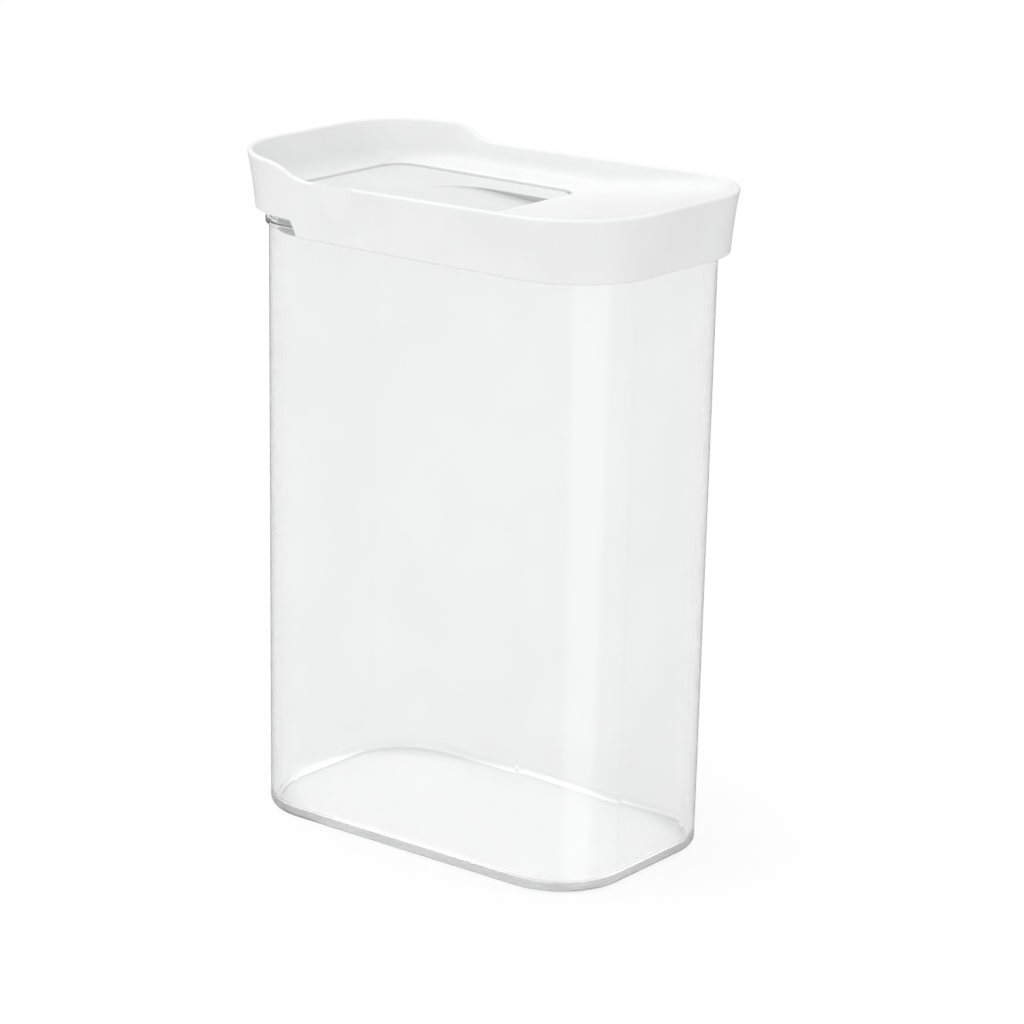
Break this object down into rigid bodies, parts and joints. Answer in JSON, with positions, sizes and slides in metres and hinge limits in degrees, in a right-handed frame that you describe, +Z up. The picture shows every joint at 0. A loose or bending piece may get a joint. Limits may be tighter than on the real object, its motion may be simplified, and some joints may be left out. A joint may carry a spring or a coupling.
{
  "type": "dry food container",
  "caption": "Clear rounded rectangular box for dry food, under a white lid whose flared rim rises to a pouring spout and whose flap tips open at a press.",
  "frame": {"origin": "centre of the container's underside", "axes": "+Z up; +X along the long side, from the spout towards the rear; +Y across the narrow side"},
  "size_m": [0.1564, 0.098, 0.2248],
  "materials": {
    "clear_plastic": "polished clear moulding",
    "lid_plastic": "satin moulding",
    "flap_plastic": "satin moulding",
    "silicone": "milky silicone",
    "pin_plastic": "smooth"
  },
  "bodies": {
    "container": {"container": "clear_plastic"},
    "lid": {"lid_cover": "lid_plastic", "lid_base": "lid_plastic", "lid_gasket": "silicone", "hinge_pin_left": "pin_plastic", "hinge_pin_right": "pin_plastic"},
    "flap": {"flap_cover": "flap_plastic", "flap_plug": "flap_plastic", "flap_gasket": "silicone"}
  },
  "joints": [
    {"name": "lid_lift", "type": "slide", "parent": "container", "child": "lid", "axis": [0, 0, 1], "range_m": [0, 0.06]},
    {"name": "flap_tilt", "type": "hinge", "parent": "lid", "child": "flap", "pos_m": [-0.003, 0, 0.2042], "axis": [0, 1, 0], "range_deg": [0, 26]}
  ]
}
